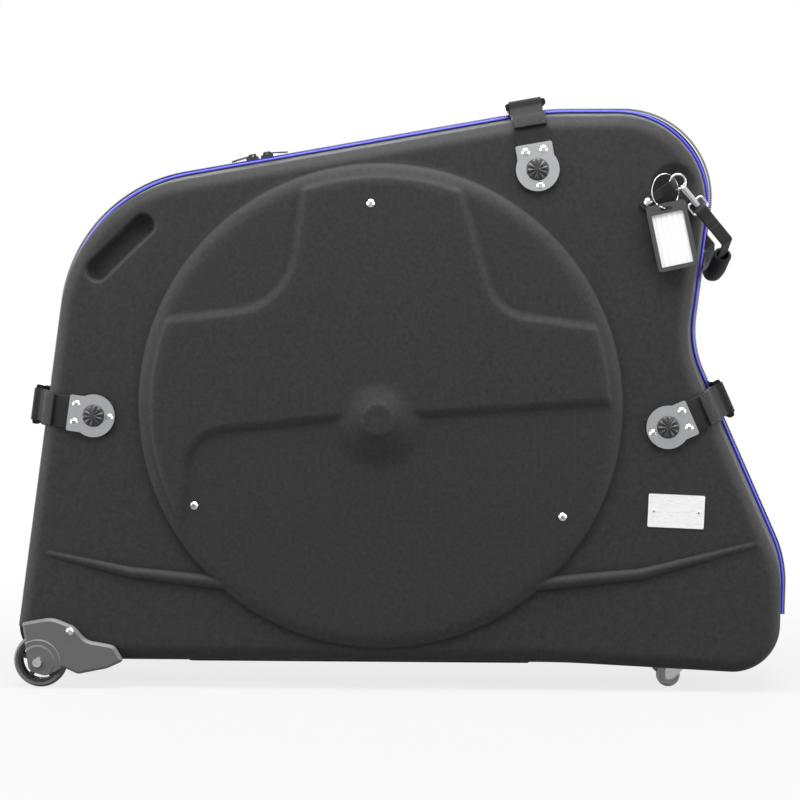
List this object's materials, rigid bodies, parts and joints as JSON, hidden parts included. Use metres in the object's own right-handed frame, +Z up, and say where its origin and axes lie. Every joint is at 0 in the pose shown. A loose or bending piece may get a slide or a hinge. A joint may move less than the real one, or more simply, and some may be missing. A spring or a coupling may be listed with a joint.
{
  "type": "bike travel case",
  "caption": "Clamshell travel case for a bicycle: two moulded soft-skinned halves with a raised wheel disc, zipped and strapped together, on luggage wheels and casters.",
  "frame": {"origin": "on the floor under the middle of the case's outline, in the plane of the zip seam", "axes": "+X along the case towards the handle end, the front half faces -Y, +Z up"},
  "size_m": [1.1966, 0.28, 0.9],
  "materials": {
    "shell_fabric": "black woven polyester laminated on moulded EVA foam",
    "piping": "blue extruded piping cord",
    "zip_tape": "black woven tape with a black nylon coil",
    "webbing": "dark grey to black woven webbing",
    "steel": "satin nickel plated steel",
    "zinc_steel": "bright zinc plated pressed steel",
    "rubber": "soft black rubber",
    "guard_plastic": "dark grey moulded polypropylene, lightly grained",
    "tyre": "black polyurethane tread",
    "hub_plastic": "grey moulded nylon",
    "caster_rubber": "grey black rubber roller",
    "chrome": "bright nickel plated zinc casting",
    "grip_foam": "soft black neoprene wrap",
    "tag_plastic": "black soft PVC",
    "card": "white uncoated card",
    "clear_plastic": "clear PVC film",
    "buckle_plastic": "black acetal",
    "aluminium": "satin anodised aluminium",
    "slider_metal": "dark grey lacquered zinc"
  },
  "bodies": {
    "rear_half": {"rear_shell": "shell_fabric", "rear_piping": "piping", "rear_zip_tape": "zip_tape", "rear_hinge_leaf": "webbing", "rear_straps": "webbing", "rear_strap_plates": "steel", "rear_strap_studs": "rubber", "rear_rivets": "steel", "rear_hold_straps": "webbing", "rear_wheel_guard": "guard_plastic", "rear_axle": "steel", "rear_caster_mount": "zinc_steel", "rear_anchor_tab": "webbing", "buckle_plugs": "buckle_plastic"},
    "front_half": {"front_shell": "shell_fabric", "front_piping": "piping", "front_zip_tape": "zip_tape", "front_hinge_leaf": "webbing", "front_straps": "webbing", "front_strap_plates": "steel", "front_strap_studs": "rubber", "front_rivets": "steel", "front_hold_straps": "webbing", "front_wheel_guard": "guard_plastic", "front_axle": "steel", "front_caster_mount": "zinc_steel", "front_anchor_tab": "webbing", "buckle_sockets": "buckle_plastic", "nameplate": "aluminium", "nameplate_rivets": "aluminium"},
    "front_wheel": {"front_tyre": "tyre", "front_wheel_hub": "hub_plastic"},
    "front_caster": {"front_caster_fork": "zinc_steel", "front_caster_axle": "steel"},
    "front_caster_roller": {"front_caster_wheel": "caster_rubber"},
    "front_handle": {"front_hook": "chrome", "front_hook_eye": "chrome", "front_handle_strap": "webbing"},
    "front_gate": {"front_hook_gate": "chrome"},
    "rear_wheel": {"rear_tyre": "tyre", "rear_wheel_hub": "hub_plastic"},
    "rear_caster": {"rear_caster_fork": "zinc_steel", "rear_caster_axle": "steel"},
    "rear_caster_roller": {"rear_caster_wheel": "caster_rubber"},
    "rear_handle": {"rear_hook": "chrome", "rear_hook_eye": "chrome", "rear_handle_strap": "webbing", "handle_grip": "grip_foam"},
    "rear_gate": {"rear_hook_gate": "chrome"},
    "luggage_tag": {"tag_loop": "clear_plastic", "tag_frame": "tag_plastic", "tag_card": "card", "tag_window": "clear_plastic"},
    "left_slider": {"left_zip_slider": "slider_metal"},
    "left_puller": {"left_zip_puller": "slider_metal"},
    "right_slider": {"right_zip_slider": "slider_metal"},
    "right_puller": {"right_zip_puller": "slider_metal"}
  },
  "joints": [
    {"name": "lid_hinge", "type": "hinge", "parent": "rear_half", "child": "front_half", "pos_m": [0, 0, 0.0195], "axis": [1, 0, 0], "range_deg": [0, 105]},
    {"name": "front_wheel_spin", "type": "hinge", "parent": "front_half", "child": "front_wheel", "pos_m": [-0.5487, -0.101, 0.041], "axis": [0, 1, 0], "continuous": true},
    {"name": "front_caster_swivel", "type": "hinge", "parent": "front_half", "child": "front_caster", "pos_m": [0.4298, -0.057, 0.04], "axis": [0, 0, 1], "continuous": true},
    {"name": "front_caster_roll", "type": "hinge", "parent": "front_caster", "child": "front_caster_roller", "pos_m": [0.4118, -0.057, 0.018], "axis": [0, 1, 0], "continuous": true},
    {"name": "front_handle_swing", "type": "hinge", "parent": "front_half", "child": "front_handle", "pos_m": [0.4168, -0.1213, 0.767], "axis": [0, -1, 0], "range_deg": [0, 115]},
    {"name": "front_hook_gate", "type": "hinge", "parent": "front_handle", "child": "front_gate", "pos_m": [0.42647, -0.1213, 0.76176], "axis": [0, -1, 0], "range_deg": [0, 24], "stiffness_Nm_per_rad": 0.02, "springref_deg": -17.19},
    {"name": "rear_wheel_spin", "type": "hinge", "parent": "rear_half", "child": "rear_wheel", "pos_m": [-0.5487, 0.101, 0.041], "axis": [0, 1, 0], "continuous": true},
    {"name": "rear_caster_swivel", "type": "hinge", "parent": "rear_half", "child": "rear_caster", "pos_m": [0.4298, 0.057, 0.04], "axis": [0, 0, 1], "continuous": true},
    {"name": "rear_caster_roll", "type": "hinge", "parent": "rear_caster", "child": "rear_caster_roller", "pos_m": [0.4118, 0.057, 0.018], "axis": [0, 1, 0], "continuous": true},
    {"name": "rear_handle_swing", "type": "hinge", "parent": "rear_half", "child": "rear_handle", "pos_m": [0.4168, 0.1213, 0.767], "axis": [0, -1, 0], "range_deg": [0, 115]},
    {"name": "rear_hook_gate", "type": "hinge", "parent": "rear_handle", "child": "rear_gate", "pos_m": [0.42647, 0.1213, 0.76176], "axis": [0, -1, 0], "range_deg": [0, 24], "stiffness_Nm_per_rad": 0.02, "springref_deg": -17.19},
    {"name": "tag_swing", "type": "hinge", "parent": "front_half", "child": "luggage_tag", "pos_m": [0.38915, -0.1213, 0.74793], "axis": [0, 1, 0], "range_deg": [0, 12]},
    {"name": "left_slider_run", "type": "slide", "parent": "rear_half", "child": "left_slider", "axis": [0.9857, 0, 0.1683], "range_m": [-0.08, 0]},
    {"name": "right_slider_run", "type": "slide", "parent": "rear_half", "child": "right_slider", "axis": [0.9857, 0, 0.1683], "range_m": [0, 0.32]},
    {"name": "left_puller_swing", "type": "hinge", "parent": "left_slider", "child": "left_puller", "pos_m": [-0.23227, 0, 0.8166], "axis": [0, 1, 0], "range_deg": [0, 90]},
    {"name": "right_puller_swing", "type": "hinge", "parent": "right_slider", "child": "right_puller", "pos_m": [-0.2096, 0, 0.82047], "axis": [0, -1, 0], "range_deg": [0, 90]}
  ],
  "couplings": [
    {"joint": "front_handle_swing", "follows": "rear_handle_swing", "ratio": 1}
  ]
}
